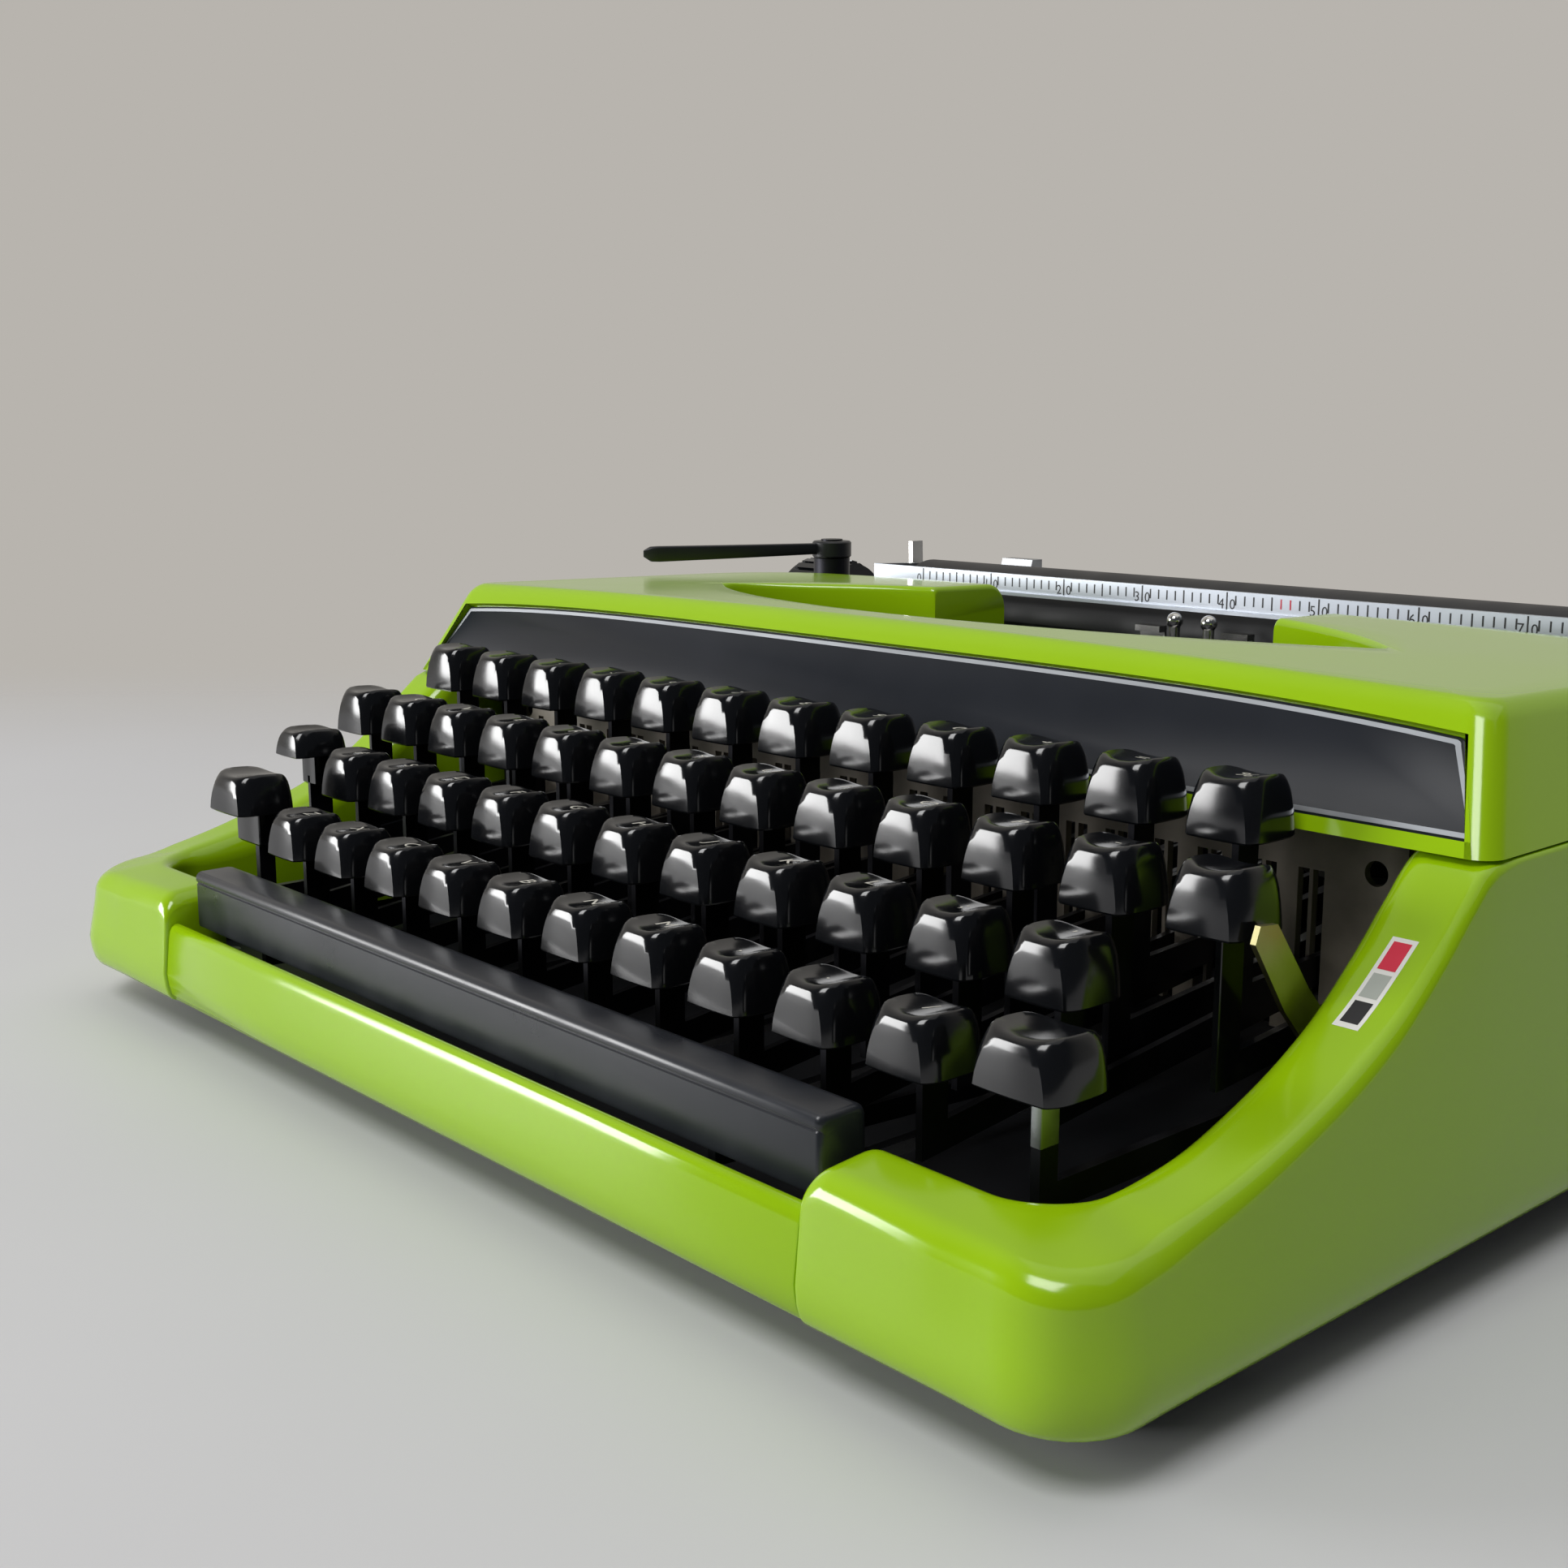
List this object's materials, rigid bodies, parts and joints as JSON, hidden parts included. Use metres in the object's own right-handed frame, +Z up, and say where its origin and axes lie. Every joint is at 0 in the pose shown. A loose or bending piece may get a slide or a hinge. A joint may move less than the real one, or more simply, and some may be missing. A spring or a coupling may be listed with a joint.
{
  "type": "portable typewriter",
  "caption": "Low portable manual typewriter: moulded case, hinged ribbon cover with a lens opening, sculpted key rows, sliding carriage with platen, bail and return lever.",
  "frame": {"origin": "on the table, under the middle of the machine's bounding box", "axes": "+X to the typist's right, +Y to the back, +Z up"},
  "size_m": [0.31, 0.284, 0.0892],
  "materials": {
    "case_green": "satin moulded, lime green",
    "panel_black": "satin black with a bright edge",
    "frame_steel": "dark grey enamel",
    "plain_steel": "zinc plated",
    "bright_steel": "bright plated",
    "scale_aluminium": "satin anodised",
    "comb_grey": "plain grey",
    "key_black": "polished",
    "black_plastic": "satin",
    "black_metal": "satin black",
    "black_rubber": "fine matt",
    "ribbon_cloth": "inked cotton",
    "wheel_brass": "plain"
  },
  "bodies": {
    "machine": {"lower_case": "case_green", "front_rail": "case_green", "base_plate": "frame_steel", "rubber_feet": "black_rubber", "case_screws": "plain_steel", "cover_hinge_pins": "plain_steel", "main_frame": "frame_steel", "key_comb": "comb_grey", "fulcrum_rod": "plain_steel", "guide_rails": "plain_steel", "type_segment": "plain_steel", "typebars": "plain_steel", "type_guide": "bright_steel", "ribbon_vibrator": "bright_steel", "spool_cups": "frame_steel", "ribbon": "ribbon_cloth"},
    "cover": {"ribbon_cover": "case_green", "name_panel": "panel_black"},
    "carriage": {"carriage_frame": "frame_steel", "paper_pan": "frame_steel", "paper_table": "frame_steel", "end_cover_left": "black_plastic", "end_cover_right": "black_plastic", "margin_rack": "plain_steel"},
    "platen_roller": {"platen": "black_rubber", "platen_shaft": "plain_steel", "knob_left": "black_plastic", "knob_right": "black_plastic", "ratchet_wheel": "plain_steel"},
    "feed_rollers": {"feed_roller": "black_rubber"},
    "bail": {"paper_bail": "scale_aluminium"},
    "sheet_guide": {"paper_guide": "bright_steel"},
    "return": {"return_lever": "black_metal"},
    "paper_release": {"paper_release_lever": "bright_steel"},
    "line_space": {"line_space_lever": "bright_steel"},
    "carriage_release": {"carriage_release_lever": "bright_steel"},
    "left_margin": {"margin_stop_left": "plain_steel"},
    "right_margin": {"margin_stop_right": "plain_steel"},
    "left_spool": {"ribbon_spool_left": "black_plastic"},
    "right_spool": {"ribbon_spool_right": "black_plastic"},
    "ribbon_selector": {"selector_lever": "plain_steel"},
    "escapement": {"escapement_wheel": "wheel_brass"},
    "spring_drum": {"mainspring_drum": "plain_steel"},
    "number_row": {"number_row_caps": "key_black", "number_row_levers": "plain_steel"},
    "top_row": {"top_row_caps": "key_black", "top_row_levers": "plain_steel"},
    "home_row": {"home_row_caps": "key_black", "home_row_levers": "plain_steel"},
    "bottom_row": {"bottom_row_caps": "key_black", "bottom_row_levers": "plain_steel"},
    "space": {"space_bar": "key_black", "space_bar_arms": "plain_steel"},
    "shift": {"left_shift_key": "key_black", "right_shift_key": "key_black", "shift_shaft": "plain_steel"},
    "lock": {"lock_key": "key_black"},
    "backspace": {"backspace_key": "key_black"},
    "margin_release": {"margin_release_key": "key_black"}
  },
  "joints": [
    {"name": "cover_hinge", "type": "hinge", "parent": "machine", "child": "cover", "pos_m": [0, 0.044, 0.067], "axis": [-1, 0, 0], "range_deg": [0, 30]},
    {"name": "carriage_slide", "type": "slide", "parent": "machine", "child": "carriage", "axis": [-1, 0, 0], "range_m": [-0.095, 0.095]},
    {"name": "platen_turn", "type": "hinge", "parent": "carriage", "child": "platen_roller", "pos_m": [0, 0.088, 0.069], "axis": [1, 0, 0], "continuous": true},
    {"name": "feed_turn", "type": "hinge", "parent": "carriage", "child": "feed_rollers", "pos_m": [0, 0.07833, 0.05224], "axis": [1, 0, 0], "continuous": true},
    {"name": "bail_swing", "type": "hinge", "parent": "carriage", "child": "bail", "pos_m": [0, 0.102, 0.07], "axis": [-1, 0, 0], "range_deg": [0, 40]},
    {"name": "paper_guide_slide", "type": "slide", "parent": "carriage", "child": "sheet_guide", "axis": [1, 0, 0], "range_m": [-0.004, 0.04]},
    {"name": "return_swing", "type": "hinge", "parent": "carriage", "child": "return", "pos_m": [-0.128, 0.072, 0.0865], "axis": [0, 0, 1], "range_deg": [0, 40], "stiffness_Nm_per_rad": 0.05, "springref_deg": -17.19},
    {"name": "paper_release_swing", "type": "hinge", "parent": "carriage", "child": "paper_release", "pos_m": [0.12, 0.104, 0.062], "axis": [1, 0, 0], "range_deg": [0, 18]},
    {"name": "line_space_swing", "type": "hinge", "parent": "carriage", "child": "line_space", "pos_m": [-0.12, 0.098, 0.06], "axis": [-1, 0, 0], "range_deg": [0, 15]},
    {"name": "carriage_release_press", "type": "hinge", "parent": "carriage", "child": "carriage_release", "pos_m": [0.12, 0.09, 0.052], "axis": [-1, 0, 0], "range_deg": [0, 5], "stiffness_Nm_per_rad": 0.05, "springref_deg": -17.19},
    {"name": "left_margin_slide", "type": "slide", "parent": "carriage", "child": "left_margin", "axis": [1, 0, 0], "range_m": [-0.02, 0.06]},
    {"name": "right_margin_slide", "type": "slide", "parent": "carriage", "child": "right_margin", "axis": [-1, 0, 0], "range_m": [-0.02, 0.06]},
    {"name": "left_spool_turn", "type": "hinge", "parent": "machine", "child": "left_spool", "pos_m": [-0.102, -0.014, 0.06], "axis": [0, 0, 1], "continuous": true},
    {"name": "right_spool_turn", "type": "hinge", "parent": "machine", "child": "right_spool", "pos_m": [0.102, -0.014, 0.06], "axis": [0, 0, 1], "continuous": true},
    {"name": "ribbon_colour_swing", "type": "hinge", "parent": "machine", "child": "ribbon_selector", "pos_m": [0.1213, -0.06, 0.026], "axis": [1, 0, 0], "range_deg": [-8, 8]},
    {"name": "escapement_turn", "type": "hinge", "parent": "machine", "child": "escapement", "pos_m": [0, 0.089, 0.0334], "axis": [0, 1, 0], "continuous": true},
    {"name": "spring_drum_turn", "type": "hinge", "parent": "machine", "child": "spring_drum", "pos_m": [-0.084, 0.089, 0.0194], "axis": [0, 1, 0], "continuous": true},
    {"name": "number_row_press", "type": "hinge", "parent": "machine", "child": "number_row", "pos_m": [0, 0.008, 0.04], "axis": [1, 0, 0], "range_deg": [0, 6], "stiffness_Nm_per_rad": 1, "springref_deg": -17.19},
    {"name": "top_row_press", "type": "hinge", "parent": "machine", "child": "top_row", "pos_m": [0, 0.008, 0.04], "axis": [1, 0, 0], "range_deg": [0, 6], "stiffness_Nm_per_rad": 1, "springref_deg": -17.19},
    {"name": "home_row_press", "type": "hinge", "parent": "machine", "child": "home_row", "pos_m": [0, 0.008, 0.04], "axis": [1, 0, 0], "range_deg": [0, 6], "stiffness_Nm_per_rad": 1, "springref_deg": -17.19},
    {"name": "bottom_row_press", "type": "hinge", "parent": "machine", "child": "bottom_row", "pos_m": [0, 0.008, 0.04], "axis": [1, 0, 0], "range_deg": [0, 6], "stiffness_Nm_per_rad": 1, "springref_deg": -17.19},
    {"name": "space_press", "type": "hinge", "parent": "machine", "child": "space", "pos_m": [0, -0.002, 0.015], "axis": [1, 0, 0], "range_deg": [0, 3.5], "stiffness_Nm_per_rad": 0.6, "springref_deg": -17.19},
    {"name": "shift_press", "type": "hinge", "parent": "machine", "child": "shift", "pos_m": [0, 0.004, 0.024], "axis": [1, 0, 0], "range_deg": [0, 5], "stiffness_Nm_per_rad": 0.8, "springref_deg": -17.19},
    {"name": "lock_press", "type": "hinge", "parent": "machine", "child": "lock", "pos_m": [0, 0.008, 0.04], "axis": [1, 0, 0], "range_deg": [0, 6], "stiffness_Nm_per_rad": 0.2, "springref_deg": -17.19},
    {"name": "backspace_press", "type": "hinge", "parent": "machine", "child": "backspace", "pos_m": [0, 0.008, 0.04], "axis": [1, 0, 0], "range_deg": [0, 6], "stiffness_Nm_per_rad": 0.2, "springref_deg": -17.19},
    {"name": "margin_release_press", "type": "hinge", "parent": "machine", "child": "margin_release", "pos_m": [0, 0.008, 0.04], "axis": [1, 0, 0], "range_deg": [0, 6], "stiffness_Nm_per_rad": 0.2, "springref_deg": -17.19}
  ],
  "couplings": [
    {"joint": "feed_turn", "follows": "platen_turn", "ratio": -3.75},
    {"joint": "right_spool_turn", "follows": "left_spool_turn", "ratio": 1},
    {"joint": "escapement_turn", "follows": "carriage_slide", "rad_per_m": -107.5},
    {"joint": "spring_drum_turn", "follows": "carriage_slide", "rad_per_m": -116}
  ]
}
